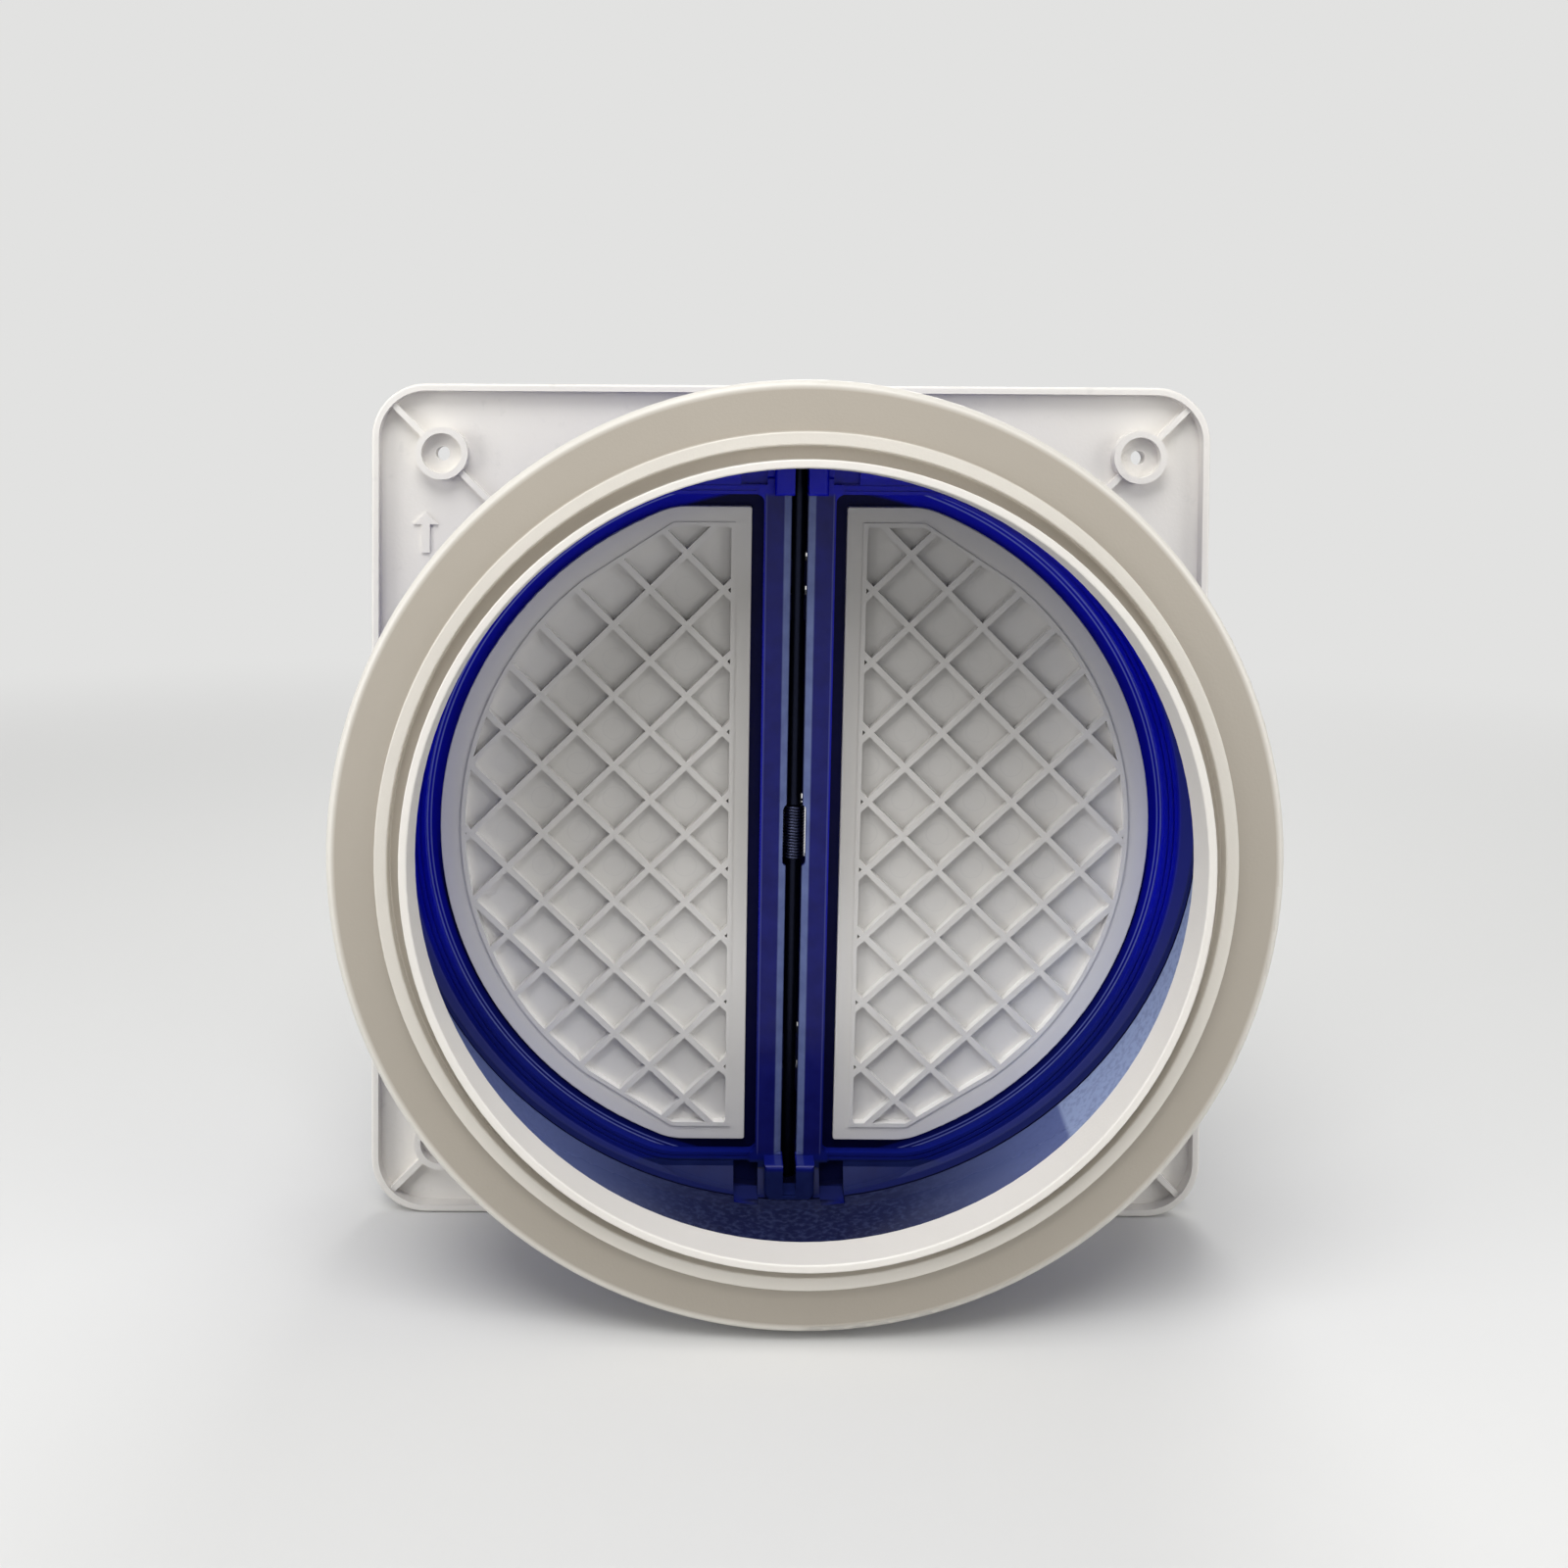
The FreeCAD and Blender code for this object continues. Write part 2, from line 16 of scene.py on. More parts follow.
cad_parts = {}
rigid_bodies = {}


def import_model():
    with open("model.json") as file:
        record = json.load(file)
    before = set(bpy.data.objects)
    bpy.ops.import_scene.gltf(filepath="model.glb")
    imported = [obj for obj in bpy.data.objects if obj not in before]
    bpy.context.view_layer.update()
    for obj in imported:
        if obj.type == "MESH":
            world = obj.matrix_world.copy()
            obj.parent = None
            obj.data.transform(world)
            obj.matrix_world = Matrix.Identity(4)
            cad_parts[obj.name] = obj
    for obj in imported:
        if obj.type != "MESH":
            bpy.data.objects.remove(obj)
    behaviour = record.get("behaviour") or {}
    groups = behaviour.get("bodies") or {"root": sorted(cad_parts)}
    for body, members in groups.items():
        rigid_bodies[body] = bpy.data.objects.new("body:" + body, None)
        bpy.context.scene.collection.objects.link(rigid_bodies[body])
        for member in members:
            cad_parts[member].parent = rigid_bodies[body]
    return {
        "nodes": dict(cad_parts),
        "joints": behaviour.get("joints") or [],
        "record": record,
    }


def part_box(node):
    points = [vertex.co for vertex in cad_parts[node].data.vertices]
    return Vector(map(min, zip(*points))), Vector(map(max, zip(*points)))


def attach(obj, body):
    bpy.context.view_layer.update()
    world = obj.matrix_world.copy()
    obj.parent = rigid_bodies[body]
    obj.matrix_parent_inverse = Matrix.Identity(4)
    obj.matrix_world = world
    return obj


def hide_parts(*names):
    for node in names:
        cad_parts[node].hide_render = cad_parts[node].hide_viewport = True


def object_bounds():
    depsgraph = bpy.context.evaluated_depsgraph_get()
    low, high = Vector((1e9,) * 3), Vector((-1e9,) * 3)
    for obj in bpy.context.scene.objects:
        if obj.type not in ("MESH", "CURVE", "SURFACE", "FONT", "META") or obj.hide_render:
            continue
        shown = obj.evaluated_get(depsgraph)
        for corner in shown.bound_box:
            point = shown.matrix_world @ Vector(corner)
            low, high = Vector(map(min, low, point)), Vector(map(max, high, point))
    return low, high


for leftover in list(bpy.data.objects):
    bpy.data.objects.remove(leftover, do_unlink=True)

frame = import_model()
nodes = frame["nodes"]
cad_low, cad_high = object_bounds()
print("nodes:", ", ".join(sorted(nodes)))
print("overall size in mm:", [round(1000 * side, 1) for side in cad_high - cad_low])

# %% [markdown]
# ## The hinge line
# Both flaps hang on one pin in the blue spine. The seat leans back by a few degrees, so the pin is
# not quite upright. Its place and direction are read from the joint, because everything near the
# flaps is easier to describe along the pin, across it, and square to the seat.

# %% Read the hinge
MM = 0.001
right_joint = next(joint for joint in frame["joints"] if joint["name"] == "right_flap_hinge")
hinge_point = Vector(right_joint["pos_m"])
along = Vector(right_joint["axis"]).normalized()
across = Vector((1, 0, 0))
outward = across.cross(along).normalized()
mounts = {mount["name"]: mount for mount in frame["record"]["mounts"]}
spigot_outer = mounts["collar_spigot"]["dims"]["r_mm"] * MM
spigot_inner = mounts["collar_bore"]["dims"]["r_mm"] * MM
print("the seat leans back by", round(math.degrees(math.asin(-along.y)), 1), "degrees")


# %% [markdown]
# ## A small language for shaders
# A material is a graph of nodes, and a graph written link by link is hard to read. This class
# wraps one socket, so that `1 - mask * 0.3` adds the Math nodes it needs. Every other kind of node
# comes from one method, which takes the node's type, its settings and what goes into its sockets.

# %% Sockets that can be added and multiplied
class Socket:
    """An output of a node that takes part in arithmetic."""

    def __init__(self, finish, link):
        self.finish = finish
        self.link = link

    def math(self, operation, *values):
        return self.finish.maths(operation, self, *values)

    def __add__(self, other):
        return self.math("ADD", other)

    def __sub__(self, other):
        return self.math("SUBTRACT", other)

    def __mul__(self, other):
        return self.math("MULTIPLY", other)

    def __truediv__(self, other):
        return self.math("DIVIDE", other)

    def __rsub__(self, other):
        return self.finish.maths("SUBTRACT", other, self)

    __radd__ = __add__
    __rmul__ = __mul__


class Finish:
    """A material, and the one method that puts nodes in it."""

    def __init__(self, name):
        self.material = bpy.data.materials.new(name)
        self.material.use_nodes = True
        self.tree = self.material.node_tree
        self.tree.nodes.clear()
        self.place = self.node("ShaderNodeTexCoord", output="Object")

    def node(self, kind, settings=None, sockets=None, output=0):
        made = self.tree.nodes.new(kind)
        for name, value in (settings or {}).items():
            if name == "stops":
                self.set_stops(made.color_ramp, value)
            else:
                setattr(made, name, value)
        for name, value in (sockets or {}).items():
            if isinstance(value, Socket):
                self.tree.links.new(value.link, made.inputs[name])
            else:
                made.inputs[name].default_value = value
        return made if output is None else Socket(self, made.outputs[output])

    def maths(self, operation, *values):
        return self.node("ShaderNodeMath", {"operation": operation}, dict(enumerate(values)))

    @staticmethod
    def set_stops(ramp, stops):
        while len(ramp.elements) > 1:
            ramp.elements.remove(ramp.elements[-1])
        ramp.elements[0].position, ramp.elements[0].color = stops[0]
        for position, colour in stops[1:]:
            ramp.elements.new(position).color = colour


print("arithmetic on sockets is ready")


# %% [markdown]
# ## Masks
# A soft step turns a distance into a mask between 0 and 1. Three more helpers say what the step is
# for: `past` an edge, `before` an edge, and `line_at` one value. The first two take the edge and
# how soft it is to each side.

# %% Soft steps
def hypot(first, second):
    """Length of a line whose two sides are at right angles, as math.hypot gives for numbers."""
    return (first * first + second * second).math("SQRT")


def step(finish, value, low, high):
    """0 below low, 1 above high, smooth between; the other way round if low is the larger."""
    flip = low > high
    sockets = {0: value, 1: min(low, high), 2: max(low, high), 3: float(flip), 4: float(not flip)}
    return finish.node("ShaderNodeMapRange", {"interpolation_type": "SMOOTHSTEP"}, sockets)


def past(finish, value, edge, softness):
    """1 above the edge, 0 below it."""
    return step(finish, value, edge - softness, edge + softness)


def before(finish, value, edge, softness):
    """1 below the edge, 0 above it."""
    return step(finish, value, edge + softness, edge - softness)


def line_at(finish, value, middle, reach, full=0.0):
    """1 on a line: all of it within full of the middle, nothing beyond reach."""
    return step(finish, (value - middle).math("ABSOLUTE"), reach, full)


print("masks are ready")


# %% [markdown]
# ## Colours, noise and grain
# Colours are written as they look on a screen, 0 to 255, and turned into the light values that
# Blender works with. A finish is painted in layers: each layer is a mask and the colour that it
# lets through. Fine grain goes into a Bump node, because the mould's texture is far too small to
# model.

# %% Colours, layers, noise and grain
def screen(red, green, blue):
    """Light values of a colour as a screen shows it."""
    levels = [level / 255 for level in (red, green, blue)]
    light = [(v / 12.92 if v <= 0.04045 else ((v + 0.055) / 1.055) ** 2.4) for v in levels]
    return (*light, 1)


def blend(finish, mask, first, second):
    """First colour where the mask is 0 and second where it is 1."""
    return finish.node("ShaderNodeMix", {"data_type": "RGBA"}, {0: mask, 6: first, 7: second}, 2)


def layered(finish, base, *layers):
    """The base colour with each layer's colour over it where the layer's mask is 1."""
    for mask, colour in layers:
        base = blend(finish, mask, base, colour)
    return base


def noise(finish, size, detail=2.0, place=None):
    """Cloudy values about 0.5, in lumps of the given size in metres."""
    sockets = {"Vector": place or finish.place, "Scale": 1 / size, "Detail": detail}
    return finish.node("ShaderNodeTexNoise", {"noise_dimensions": "3D"}, sockets)


def grain(finish, size, height, strength=1.0):
    """A fine moulded texture as a normal."""
    sockets = {"Height": noise(finish, size, 3.0) * height, "Strength": strength, "Distance": 1.0}
    return finish.node("ShaderNodeBump", None, sockets)


def surface(finish, **sockets):
    """Ends the material with one Principled shader; names use _ for a space."""
    named = {name.replace("_", " "): value for name, value in sockets.items()}
    shader = finish.node("ShaderNodeBsdfPrincipled", None, named)
    finish.node("ShaderNodeOutputMaterial", None, {"Surface": shader}, None)


print("a mid grey of 128 is", round(screen(128, 128, 128)[0], 3), "as light")


# %% [markdown]
# ## White plate
# The plate is moulded in plain white plastic. It isn't one even colour: thick and thin places cool
# at different speeds, which leaves faint clouds, and the mould's fine texture breaks up its shine.
# Noise of three sizes does that: large clouds and small dull specks in the colour, and the finest
# grain in the bump.

# %% Finish of the mounting plate
white_plastic = Finish("white_plastic")
clouds = noise(white_plastic, 0.045)
specks = noise(white_plastic, 0.0035, 4.0)
plate_white = blend(white_plastic, clouds, screen(230, 226, 220), screen(239, 236, 231))
dull_specks = step(white_plastic, specks, 0.62, 0.75) * 0.25
surface(
    white_plastic,
    Base_Color=layered(white_plastic, plate_white, (dull_specks, screen(208, 206, 201))),
    Roughness=0.36 + 0.16 * specks,
    IOR=1.5,
    Normal=grain(white_plastic, 0.0007, 0.00004),
)
print("finish:", white_plastic.material.name)


# %% [markdown]
# ## Stepped collar
# The collar takes ducts of several sizes on its steps. It is a warm beige grey, and its bore looks
# almost white. Its crests and its outer lip are painted almost white, as a painted highlight along
# their edges, and the wide brim and the groove between the crests stay darker. The finish follows
# the distance from the duct's axis, so the steps of the CAD model and the tones always agree.

# %% Distance from the duct's axis, and the collar's finish
def from_axis(finish):
    """Distance from the axis of the duct, in metres."""
    sockets = {0: finish.place, 1: (1, 0, 1)}
    flat = finish.node("ShaderNodeVectorMath", {"operation": "MULTIPLY"}, sockets)
    return finish.node("ShaderNodeVectorMath", {"operation": "LENGTH"}, {0: flat}, 1)


lip_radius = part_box("duct_collar")[1].x
groove_width = 2.7 * MM
shoulder_width = 2.5 * MM
lip_width = 2.0 * MM
groove_end = spigot_outer + groove_width
shoulder_end = groove_end + shoulder_width
bore_tone = screen(234, 230, 224)
# crests and lip: lighter tones that paint a highlight along their edges
crest_highlight_tone = screen(222, 217, 208)
groove_tone = screen(184, 176, 164)
brim_tone = screen(170, 162, 150)
lip_highlight_tone = screen(226, 222, 214)


def on_ring(radius):
    """Place of a radius on the ramp, from the bore to the lip."""
    return (radius - spigot_inner) / (lip_radius - spigot_inner)


ring_stops = [
    (0.0, bore_tone),
    (on_ring(spigot_outer), bore_tone),
    (on_ring(spigot_outer + 0.3 * MM), groove_tone),
    (on_ring(groove_end - 0.3 * MM), groove_tone),
    (on_ring(groove_end), crest_highlight_tone),
    (on_ring(shoulder_end - 0.2 * MM), crest_highlight_tone),
    (on_ring(shoulder_end + 0.3 * MM), brim_tone),
    (on_ring(lip_radius - lip_width), brim_tone),
    (on_ring(lip_radius - lip_width / 2), lip_highlight_tone),
]
collar_plastic = Finish("beige_plastic")
ring = (from_axis(collar_plastic) - spigot_inner) / (lip_radius - spigot_inner)
ring_tone = collar_plastic.node("ShaderNodeValToRGB", {"stops": ring_stops}, {"Fac": ring})
mottling = noise(collar_plastic, 0.03) * 0.16
surface(
    collar_plastic,
    Base_Color=layered(collar_plastic, ring_tone, (mottling, screen(140, 134, 122))),
    Roughness=0.34 + 0.16 * noise(collar_plastic, 0.004),
    IOR=1.5,
    Normal=grain(collar_plastic, 0.0006, 0.00003),
)
print("finish:", collar_plastic.material.name, "with", len(ring_stops), "steps")


# %% [markdown]
# ## Blue body: the seat
# The tube, the leaning seat and the spine are one moulding in deep, glossy, slightly see-through
# blue. Where the wall is thin and light comes through it, along the edges of the spine's slot and
# on the tube's lower wall, it looks paler and greyer. Real see-through plastic is slow to render
# and doesn't survive an export, so the paler places are part of the colour. The seat's own blue is
# a function, because the seals' outer edge has to match it.

# %% Distances from the hinge, and the seat's blue
def from_hinge(finish, direction):
    """Signed distance from the hinge along a direction, in metres."""
    sockets = {0: finish.place, 1: hinge_point}
    moved = finish.node("ShaderNodeVectorMath", {"operation": "SUBTRACT"}, sockets)
    sockets = {0: moved, 1: direction}
    return finish.node("ShaderNodeVectorMath", {"operation": "DOT_PRODUCT"}, sockets, 1)


# painted light: the seat's blue is brighter above the middle, where light from above comes through
# the tube wall
upper_seat = screen(3, 8, 168), screen(8, 16, 196)
lower_seat = screen(10, 17, 104), screen(24, 36, 134)


def seat_blue(finish, lengthways):
    """Seat's deep blue with painted light: clearer above the middle, darker and greyer below."""
    flow = noise(finish, 0.02)
    below = step(finish, lengthways, -4 * MM, -48 * MM)
    return blend(finish, below, blend(finish, flow, *upper_seat), blend(finish, flow, *lower_seat))


print("the seat's blue is ready")

# %% [markdown]
# ## Blue body: where things are
# The masks say where the spine, its slot, the seat's slope, the end blocks and the wall are. They
# are measured from the hinge and from the duct's axis: `sideways` and `lengthways` lie in the
# seat's plane, and `height` stands up from it.

# %% Masks of the valve body
tube_inside = 82.0 * MM
slope_start = 79.5 * MM
seat_front = 4.0 * MM
pocket_depth = 0.85 * MM
crease_height = 8.0 * MM
spine_end = 71.5 * MM
spine_half = 7.0 * MM
spine_front = 4.1 * MM
rim_offset = 6.7 * MM
slot_half = 1.75 * MM
slot_edge_half = 3.1 * MM
block_start = -73.0 * MM
block_channel = 6.4 * MM

blue_plastic = Finish("blue_plastic")
tube_radius = from_axis(blue_plastic)
to_the_right = from_hinge(blue_plastic, across)
sideways = to_the_right.math("ABSOLUTE")
lengthways = from_hinge(blue_plastic, along)
height = from_hinge(blue_plastic, outward)
streaks = noise(blue_plastic, 0.004, 3.0)
wall_speckle = noise(blue_plastic, 0.0012, 3.0)

on_spine = before(blue_plastic, lengthways.math("ABSOLUTE"), spine_end, 0.6 * MM)
spine = before(blue_plastic, sideways, spine_half, 0.4 * MM) * on_spine
slot_edge = past(blue_plastic, sideways, 1.65 * MM, 0.15 * MM)
slot_edge = slot_edge * before(blue_plastic, sideways, slot_edge_half, 0.2 * MM)
slot_edge = slot_edge * past(blue_plastic, height, 3.35 * MM, 0.35 * MM) * on_spine
# painted shade deep in the slot, below the spine's face
slot_shade = before(blue_plastic, sideways, slot_half, 0.15 * MM)
slot_shade = slot_shade * before(blue_plastic, height, 3.8 * MM, 0.4 * MM)
# painted highlight: a pale line along each side of the spine's face
rim_highlight = line_at(blue_plastic, sideways, rim_offset, 0.25 * MM)
rim_highlight = rim_highlight * past(blue_plastic, height, spine_front, 0.2 * MM) * on_spine

outside = past(blue_plastic, tube_radius, tube_inside + 0.9 * MM, 0.3 * MM)
slope = past(blue_plastic, hypot(sideways, lengthways), slope_start, 0.5 * MM)
slope = slope * (1 - outside)
inner_wall = past(blue_plastic, tube_radius, tube_inside - 0.2 * MM, 0.1 * MM) * (1 - outside)
past_crease = inner_wall * past(blue_plastic, height, crease_height + 0.05 * MM, 0.15 * MM)
# painted shade: a dark line along the crease in the tube wall
crease_shade = inner_wall * line_at(blue_plastic, height, crease_height, 0.45 * MM, 0.25 * MM)
end_blocks = before(blue_plastic, lengthways, block_start, 0.4 * MM)
# painted shade in the pockets of the end blocks, below the seat's face
pocket_shade = end_blocks * before(blue_plastic, height, seat_front - pocket_depth, 0.15 * MM)
pocket_shade = pocket_shade * past(blue_plastic, sideways, block_channel, 0.2 * MM)
print("the slot is", round(2 * slot_half / MM, 1), "mm wide in the finish")

# %% [markdown]
# ## Blue body: the layers
# The wall beyond the crease is palest on the right, where light comes through it, and dark at the
# bottom. The layers go from the seat outward: slope, end blocks, spine, slot, wall, crease and the
# tube's outside. The pockets of the end blocks, the slot and the crease are painted shade, and a
# line along each side of the spine is a painted highlight.

# %% Finish of the valve body
low_middle = step(blue_plastic, lengthways, -30 * MM, -72 * MM)
low_middle = low_middle * step(blue_plastic, sideways, 64 * MM, 14 * MM)
lit_side = step(blue_plastic, to_the_right + lengthways, -2 * MM, 0.0)
lit_side = lit_side * step(blue_plastic, to_the_right, 0.0, 30 * MM)
speckled = step(blue_plastic, wall_speckle, 0.42, 0.68) * 0.3
wall_blue = blend(blue_plastic, lit_side, screen(92, 104, 152), screen(146, 160, 196))
wall_blue = layered(
    blue_plastic,
    wall_blue,
    (low_middle, screen(28, 32, 66)),
    (speckled, screen(74, 84, 124)),
)
block_blue = blend(blue_plastic, streaks, screen(18, 25, 74), screen(36, 48, 104))
spine_blue = blend(blue_plastic, streaks, screen(12, 13, 78), screen(26, 30, 116))
outer_blue = blend(blue_plastic, streaks, screen(14, 19, 92), screen(24, 31, 116))
deep_blue = layered(
    blue_plastic,
    seat_blue(blue_plastic, lengthways),
    (slope * 0.85, screen(22, 32, 98)),
    (end_blocks * 0.9, block_blue),
    (pocket_shade * 0.8, screen(8, 10, 50)),
    (spine, spine_blue),
    (slot_edge * (0.45 + 0.6 * streaks), screen(116, 130, 178)),
    (rim_highlight * 0.4, screen(86, 94, 166)),
    (slot_shade, screen(8, 9, 34)),
    (inner_wall, screen(24, 32, 92)),
    (past_crease, wall_blue),
    (crease_shade * 0.85, screen(6, 8, 44)),
    (outside, outer_blue),
)
surface(
    blue_plastic,
    Base_Color=deep_blue,
    Roughness=0.16 + 0.14 * streaks + 0.4 * slope,
    IOR=1.49,
    Specular_IOR_Level=0.2,
    Normal=grain(blue_plastic, 0.012, 0.0001, 0.5),
)
print("finish:", blue_plastic.material.name)


# %% [markdown]
# ## Half-moon flaps
# The flaps are thin milky plastic. Faint round marks show where pins pushed them out of the mould,
# one in the middle of each pocket of the lattice. The lattice runs at 45 degrees to the pin, so
# two diagonal coordinates, cut into whole pockets, give the distance to the nearest pocket's
# middle. The knuckles sit in the slot's shade, and that shade is painted on them, as dark as the
# slot.

# %% Places on a flap
pocket = 10.48 * MM
crossing_over = 15.1 * MM
mark_radius = 2.3 * MM
mark_line = 0.25 * MM
knuckle_reach = 3.45 * MM
milky_plastic = Finish("milky_plastic")
right_of_pin = from_hinge(milky_plastic, across)
over = right_of_pin.math("ABSOLUTE")
up = from_hinge(milky_plastic, along)
standing = from_hinge(milky_plastic, outward)
from_centre = hypot(over, up)
repeat = pocket * math.sqrt(2)
first_diagonal = ((over + up - crossing_over) / repeat + 0.5).math("FRACT") - 0.5
second_diagonal = ((over - up - crossing_over) / repeat + 0.5).math("FRACT") - 0.5
off_middle = hypot(first_diagonal, second_diagonal) * pocket
mark = line_at(milky_plastic, off_middle, mark_radius, mark_line)
print("one pocket in", round(pocket / MM, 2), "mm")

# %% [markdown]
# ## Tones of the flaps
# A pocket's floor is painted a little darker than the ribs round it, as shade in the pocket. The
# flaps get painted shade beside the spine and towards the top, more on the right flap, and painted
# light near the tube and at the bottom; near the rim a painted blue reflection of the tube lies on
# them. Where two ribs meet at the straight border, the small nook between them is dark with
# painted shade.

# %% Finish of the flaps
pocket_floor = step(milky_plastic, standing, 2.9 * MM, 2.2 * MM)
shaded_beside_spine = step(milky_plastic, over, 17 * MM, 10 * MM)
lit_near_tube = step(milky_plastic, from_centre, 50 * MM, 70 * MM)
# painted reflection: a blue tint from the tube wall on the flap's curved rim
rim_blue_reflection = step(milky_plastic, from_centre, 68 * MM, 73.3 * MM)
lit_lower_part = step(milky_plastic, up, 5 * MM, -35 * MM)
shaded_upper_part = step(milky_plastic, up, -10 * MM, 66 * MM)
right_side = step(milky_plastic, right_of_pin, 0.0, 10 * MM)
# painted shade in the small nooks where two ribs meet at the straight border
nook_shade = pocket_floor * past(milky_plastic, standing, 1.4 * MM, 0.2 * MM)
nook_shade = nook_shade * before(milky_plastic, over, 14.6 * MM, 0.1 * MM)
for diagonal in (first_diagonal, second_diagonal):
    nook_shade = nook_shade * step(milky_plastic, diagonal.math("ABSOLUTE"), 0.38, 0.41)
# painted shade: the knuckles take the slot's dark shade
knuckle_shade = before(milky_plastic, over, knuckle_reach, 0.25 * MM)

clouds = noise(milky_plastic, 0.02)
# painted shade: pocket floors, beside the spine, towards the top and the nooks; painted light:
# near the tube and at the bottom; the round marks are the flaps' own
milky = layered(
    milky_plastic,
    blend(milky_plastic, clouds, screen(206, 203, 199), screen(218, 215, 211)),
    (pocket_floor * 0.4, screen(178, 176, 173)),
    (shaded_beside_spine * 0.45, screen(140, 138, 135)),
    (mark * 0.12, screen(150, 150, 154)),
    (lit_near_tube * 0.75, screen(240, 238, 238)),
    (rim_blue_reflection * 0.4, screen(206, 204, 236)),
    (lit_lower_part * 0.6, screen(238, 236, 233)),
    (shaded_upper_part * (0.45 + 0.35 * right_side), screen(150, 148, 146)),
    (nook_shade * 0.9, screen(40, 38, 36)),
    (knuckle_shade, screen(12, 14, 52)),
)
surface(
    milky_plastic,
    Base_Color=milky,
    Roughness=0.3 + 0.2 * noise(milky_plastic, 0.003),
    IOR=1.49,
    Normal=grain(milky_plastic, 0.0006, 0.00001),
)
print("finish:", milky_plastic.material.name)

# %% [markdown]
# ## Soft seals, pin and spring
# A navy rubber ring closes the gap round each flap. Beside the flap it is dark, partly its own
# navy and partly painted shade of the gap, and further out it is as blue as the seat, painted
# light included, with two fine lines of painted highlight. The pin is dark drawn steel, with fine
# lines along it, and the spring is wire of a slightly brighter steel, whose dark blue tint is
# partly painted shade of the slot.

# %% Finishes of the small parts
shaded_edge = 74.2 * MM
shaded_edge_above = 72.7 * MM
highlight_line_radii = 75.5 * MM, 76.25 * MM
navy_rubber = Finish("navy_rubber")
upward = from_hinge(navy_rubber, along)
out_from = hypot(from_hinge(navy_rubber, across), upward)
beyond_shade = past(navy_rubber, out_from, shaded_edge, 0.3 * MM)
above = step(navy_rubber, upward, -15 * MM, 5 * MM)
above = above * past(navy_rubber, out_from, shaded_edge_above, 0.5 * MM)
highlight_lines = [line_at(navy_rubber, out_from, radius, 0.22 * MM, 0.08 * MM) for radius in highlight_line_radii]
highlight_line_tone = screen(136, 148, 224)
# dark navy beside the flap, partly painted shade of the gap; the seat's blue with its painted
# light further out; two lines of painted highlight
rubber = layered(
    navy_rubber,
    blend(navy_rubber, noise(navy_rubber, 0.01), screen(2, 3, 40), screen(5, 7, 62)),
    (beyond_shade.math("MAXIMUM", above), seat_blue(navy_rubber, upward)),
    *[(highlight_line * 0.7, highlight_line_tone) for highlight_line in highlight_lines],
)
surface(
    navy_rubber,
    Base_Color=rubber,
    Roughness=0.42 + 0.2 * noise(navy_rubber, 0.002),
    IOR=1.5,
    Specular_IOR_Level=0.1,
    Normal=grain(navy_rubber, 0.0008, 0.00006),
)

dark_steel = Finish("dark_steel")
sockets = {"Vector": dark_steel.place, "Scale": (60, 60, 1)}
drawn = dark_steel.node("ShaderNodeMapping", None, sockets)
lines = noise(dark_steel, 0.01, 2.0, drawn)
surface(
    dark_steel,
    Base_Color=blend(dark_steel, lines, screen(12, 14, 30), screen(32, 36, 54)),
    Metallic=0.9,
    Roughness=0.28 + 0.2 * lines,
)

bright_wire = Finish("bright_wire")
patches = noise(bright_wire, 0.004)
# the wire's dark, blue-tinted tones are partly painted shade of the slot round the coil
surface(
    bright_wire,
    Base_Color=blend(bright_wire, patches, screen(36, 40, 60), screen(78, 82, 106)),
    Metallic=1.0,
    Roughness=0.22 + 0.15 * noise(bright_wire, 0.001),
)
print("finishes: navy_rubber, dark_steel, bright_wire")

# %% Put the finishes on the CAD pieces
finish_of = {
    "mounting_plate": white_plastic,
    "duct_collar": collar_plastic,
    "valve_body": blue_plastic,
    "hinge_pin": dark_steel,
    "flap_right": milky_plastic,
    "flap_left": milky_plastic,
    "seal_right": navy_rubber,
    "seal_left": navy_rubber,
}
for name, finish in finish_of.items():
    slots = nodes[name].material_slots
    for slot in slots:
        slot.material = finish.material
    print(name, "has", len(slots), "slot in", finish.material.name)


# %% [markdown]
# ## Closing spring
# The spring is one wire: an arm behind the right flap, a left-hand coil round the pin, and an arm
# behind the left flap. In the CAD model it is rigid. Here the coil stays with the body and each
# arm goes with its flap, so the spring still works when the flaps open. A wire could be a curve
# with a bevel, but a mesh swept along a list of points keeps its rings even at the small radius of
# the coil.

# %% Sweep a round wire along a line of points
def full_turn(count):
    """Angles of evenly spaced points round a circle."""
    return [2 * math.pi * k / count for k in range(count)]


def wire(name, points, radius, sides=12):
    """A round wire with closed ends along the points."""
    mesh = bmesh.new()
    rings = []
    side = outward
    for index, point in enumerate(points):
        ahead = points[min(index + 1, len(points) - 1)] - points[max(index - 1, 0)]
        ahead.normalize()
        side = (side - ahead * side.dot(ahead)).normalized()
        other = ahead.cross(side)
        spokes = [side * math.cos(angle) + other * math.sin(angle) for angle in full_turn(sides)]
        rings.append([mesh.verts.new(point + radius * spoke) for spoke in spokes])
    for near, far in zip(rings, rings[1:]):
        for k in range(sides):
            mesh.faces.new((near[k - 1], near[k], far[k], far[k - 1]))
    mesh.faces.new(rings[0])
    mesh.faces.new(reversed(rings[-1]))
    bmesh.ops.recalc_face_normals(mesh, faces=mesh.faces)
    data = bpy.data.meshes.new(name)
    mesh.to_mesh(data)
    mesh.free()
    for face in data.polygons:
        face.use_smooth = len(face.vertices) == 4
    data.materials.append(bright_wire.material)
    piece = bpy.data.objects.new(name, data)
    bpy.context.scene.collection.objects.link(piece)
    return piece


print("wires can be swept")

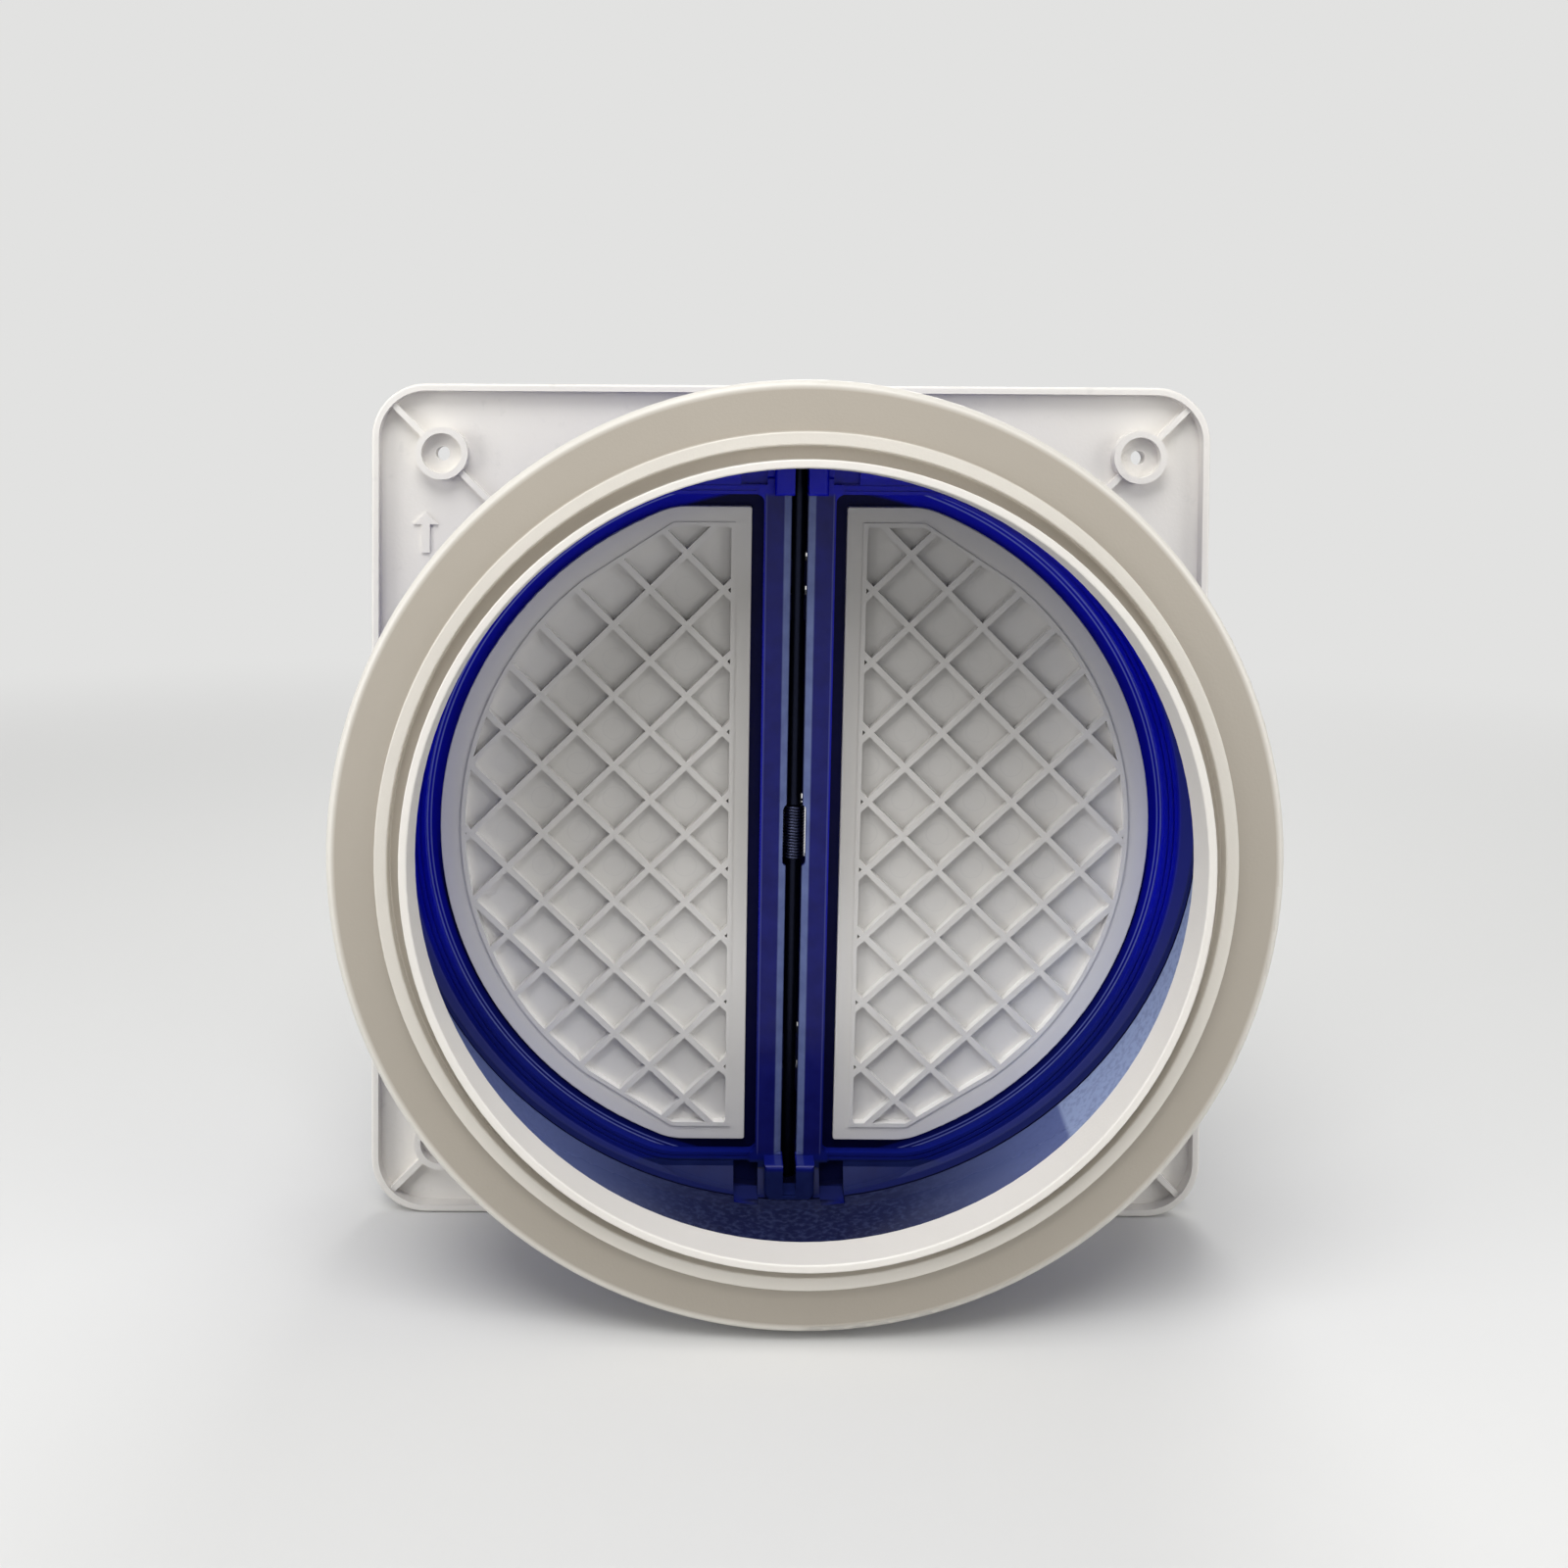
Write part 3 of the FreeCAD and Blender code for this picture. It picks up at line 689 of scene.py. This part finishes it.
# %% [markdown]
# ## Winding
# Each arm leaves the coil along a tangent, which sets the angle where the coil starts and ends.
# The coil has the CAD spring's length and radii, but eight turns more, so that it is wound close
# and no light shows between the turns.

# %% Wind the spring
wire_radius = 0.3 * MM
coil_radius = 2.15 * MM
coil_steps = 24
arm_length = 19 * MM
arm_height = -0.3 * MM
arm_steps = 8
cad_pitch = 1.15 * MM
extra_turns = 8
arm_slope = math.atan2(arm_height, arm_length)
leaving = arm_slope - math.acos(coil_radius / math.hypot(arm_length, arm_height))
cad_turns = 10.5 + leaving / math.pi
coil_length = cad_turns * cad_pitch
coil_turns = cad_turns + extra_turns
coil_pitch = coil_length / coil_turns
coil_half = coil_length / 2


def at_hinge(over, up, out):
    """A point given across the hinge, along it and towards the room."""
    return hinge_point + across * over + along * up + outward * out


def on_coil(turn):
    """A point on the coil's middle line, after so many turns."""
    angle = leaving - 2 * math.pi * turn
    drop = coil_pitch * turn
    return at_hinge(coil_radius * math.cos(angle), coil_half - drop, coil_radius * math.sin(angle))


def arm(root, tip):
    """Points from an end of the coil to the tip of its arm."""
    return [root.lerp(tip, k / arm_steps) for k in range(arm_steps + 1)]


coil_count = round(coil_turns * coil_steps)
coil_points = [on_coil(coil_turns * k / coil_count) for k in range(coil_count + 1)]
right_arm = arm(coil_points[0], at_hinge(arm_length, coil_half, arm_height))
left_arm = arm(coil_points[-1], at_hinge(-arm_length, -coil_half, arm_height))
spring_parts = {
    "spring_coil": (coil_points, "housing"),
    "spring_arm_right": (right_arm, "right_flap"),
    "spring_arm_left": (left_arm, "left_flap"),
}
for name, (points, body) in spring_parts.items():
    piece = wire(name, points, wire_radius)
    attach(piece, body)
    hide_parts("torsion_spring")
    print(name, "on", body, "with", len(piece.data.polygons), "faces")
print("the coil has", round(coil_turns, 2), "turns")

# %% [markdown]
# ## Studio
# The damper stands on its plate's lower edge on a plain pale floor that curves up into a pale
# backdrop all round. Near the damper the floor is an ordinary surface and keeps its shadow.
# Further off it turns into an even pale tone for the camera and for reflections, so that no edge
# of the floor shows.

# %% Floor and backdrop
floor_height = cad_low.z - 0.2 * MM
flat_radius = 1.8
bend_radius = 0.5
bend_steps = 10
wall_radius = flat_radius + bend_radius
floor_profile = [(radius, 0.0) for radius in (0.3, 0.7, 1.2, flat_radius)]
for k in range(1, bend_steps + 1):
    angle = k / bend_steps * math.pi / 2
    reach = flat_radius + bend_radius * math.sin(angle)
    floor_profile.append((reach, bend_radius - bend_radius * math.cos(angle)))
floor_profile += [(wall_radius, rise) for rise in (0.9, 1.6)]
floor_sides = 96

mesh = bmesh.new()
centre = mesh.verts.new((0, 0, floor_height))
rings = []
for radius, rise in floor_profile:
    level = floor_height + rise
    corners = [(radius * math.cos(a), radius * math.sin(a), level) for a in full_turn(floor_sides)]
    rings.append([mesh.verts.new(corner) for corner in corners])
for k in range(floor_sides):
    mesh.faces.new((centre, rings[0][k - 1], rings[0][k]))
for near, far in zip(rings, rings[1:]):
    for k in range(floor_sides):
        mesh.faces.new((near[k - 1], far[k - 1], far[k], near[k]))
floor_data = bpy.data.meshes.new("studio_floor")
mesh.to_mesh(floor_data)
mesh.free()
for face in floor_data.polygons:
    face.use_smooth = True
studio_floor = bpy.data.objects.new("studio_floor", floor_data)
bpy.context.scene.collection.objects.link(studio_floor)
print("floor at", round(floor_height * 1000, 1), "mm")


# %% [markdown]
# ## Finish of the floor
# A Light Path node tells which rays come from the camera. Only those, and the ones that gloss and
# glass send on, see the pale tone. The light that the floor throws back on the damper comes from a
# darker one, so the damper's underside isn't washed out.

# %% Pale finish of the floor
def seen_directly(finish):
    """1 for rays from the camera, and for those that gloss and glass send on."""
    path = finish.node("ShaderNodeLightPath", None, None, None)
    camera_ray, glossy_ray, glass_ray = [
        Socket(finish, path.outputs[name])
        for name in ("Is Camera Ray", "Is Glossy Ray", "Is Transmission Ray")
    ]
    return camera_ray.math("MAXIMUM", glossy_ray).math("MAXIMUM", glass_ray)


pale = screen(226, 226, 225)
floor_grey = screen(186, 186, 185)
floor_finish = Finish("studio_floor")
sockets = {0: floor_finish.place}
distance = floor_finish.node("ShaderNodeVectorMath", {"operation": "LENGTH"}, sockets, 1)
far_off = step(floor_finish, distance, 0.35, 1.1) * seen_directly(floor_finish)
seen = blend(floor_finish, seen_directly(floor_finish), floor_grey, pale)
sockets = {"Base Color": seen, "Roughness": 0.8}
lit = floor_finish.node("ShaderNodeBsdfPrincipled", None, sockets)
even = floor_finish.node("ShaderNodeEmission", None, {"Color": pale, "Strength": 1.0})
mixed = floor_finish.node("ShaderNodeMixShader", None, {0: far_off, 1: lit, 2: even})
floor_finish.node("ShaderNodeOutputMaterial", None, {"Surface": mixed}, None)
studio_floor.data.materials.append(floor_finish.material)
print("finish:", floor_finish.material.name)


# %% [markdown]
# ## Light
# Soft light comes from above and in front, so that the upper part of the tube shades the flaps and
# the lower part of the bore is bright. A lamp at each side brings out the walls of the tube, and
# the left one is the stronger. A weak lamp near the camera opens the shadows, one behind lights
# the back, and the world fills the rest.

# %% Lamps and world
def soft_lamp(name, place, target, width, power):
    """A round lamp of a width in metres and a power in watts, turned to a target."""
    data = bpy.data.lights.new(name, "AREA")
    data.shape = "DISK"
    data.size = width
    data.energy = power
    lamp = bpy.data.objects.new(name, data)
    lamp.location = place
    lamp.rotation_mode = "QUATERNION"
    lamp.rotation_quaternion = (Vector(target) - Vector(place)).to_track_quat("-Z", "Y")
    bpy.context.scene.collection.objects.link(lamp)


seat_middle = (0, -0.02, 0)
soft_lamp("top_lamp", (-0.12, -0.6, 1.0), seat_middle, 0.8, 9.5)
soft_lamp("left_lamp", (-1.05, -0.62, 0.25), seat_middle, 0.7, 6.0)
soft_lamp("right_lamp", (1.05, -0.62, 0.25), seat_middle, 0.7, 4.5)
soft_lamp("front_lamp", (0.35, -1.5, 0.25), seat_middle, 0.9, 1.0)
soft_lamp("back_lamp", (0.3, 1.1, 0.9), (0, 0, 0), 0.8, 6.0)
world = bpy.context.scene.world or bpy.data.worlds.new("studio")
bpy.context.scene.world = world
world.use_nodes = True
sky = world.node_tree.nodes.get("Background")
sky.inputs["Color"].default_value = pale
sky.inputs["Strength"].default_value = 0.45

# %% [markdown]
# ## Camera
# The camera stands where the photographer stood: a little above the middle and close, which makes
# the collar look larger than the plate behind it. The picture was cropped off centre, so the lens
# is shifted.

# %% Camera
camera_data = bpy.data.cameras.new("camera")
camera_data.sensor_width = 36.0
camera_data.lens = 33.75
camera_data.shift_x = 0.0595
camera_data.shift_y = -0.1672
camera = bpy.data.objects.new("camera", camera_data)
camera_up = Vector((-0.0064, 0.02729, 0.99961))
camera_back = Vector((0.00207, -0.99963, 0.0273))
camera_right = camera_up.cross(camera_back).normalized()
turn = [[camera_right[k], camera_up[k], camera_back[k]] for k in range(3)]
camera.location = (-0.0212, -0.3281, 0.0708)
camera.rotation_mode = "QUATERNION"
camera.rotation_quaternion = Matrix(turn).to_quaternion()
bpy.context.scene.collection.objects.link(camera)
bpy.context.scene.camera = camera
bpy.context.scene.view_settings.view_transform = "Standard"
print("camera", [round(value, 3) for value in camera.location])
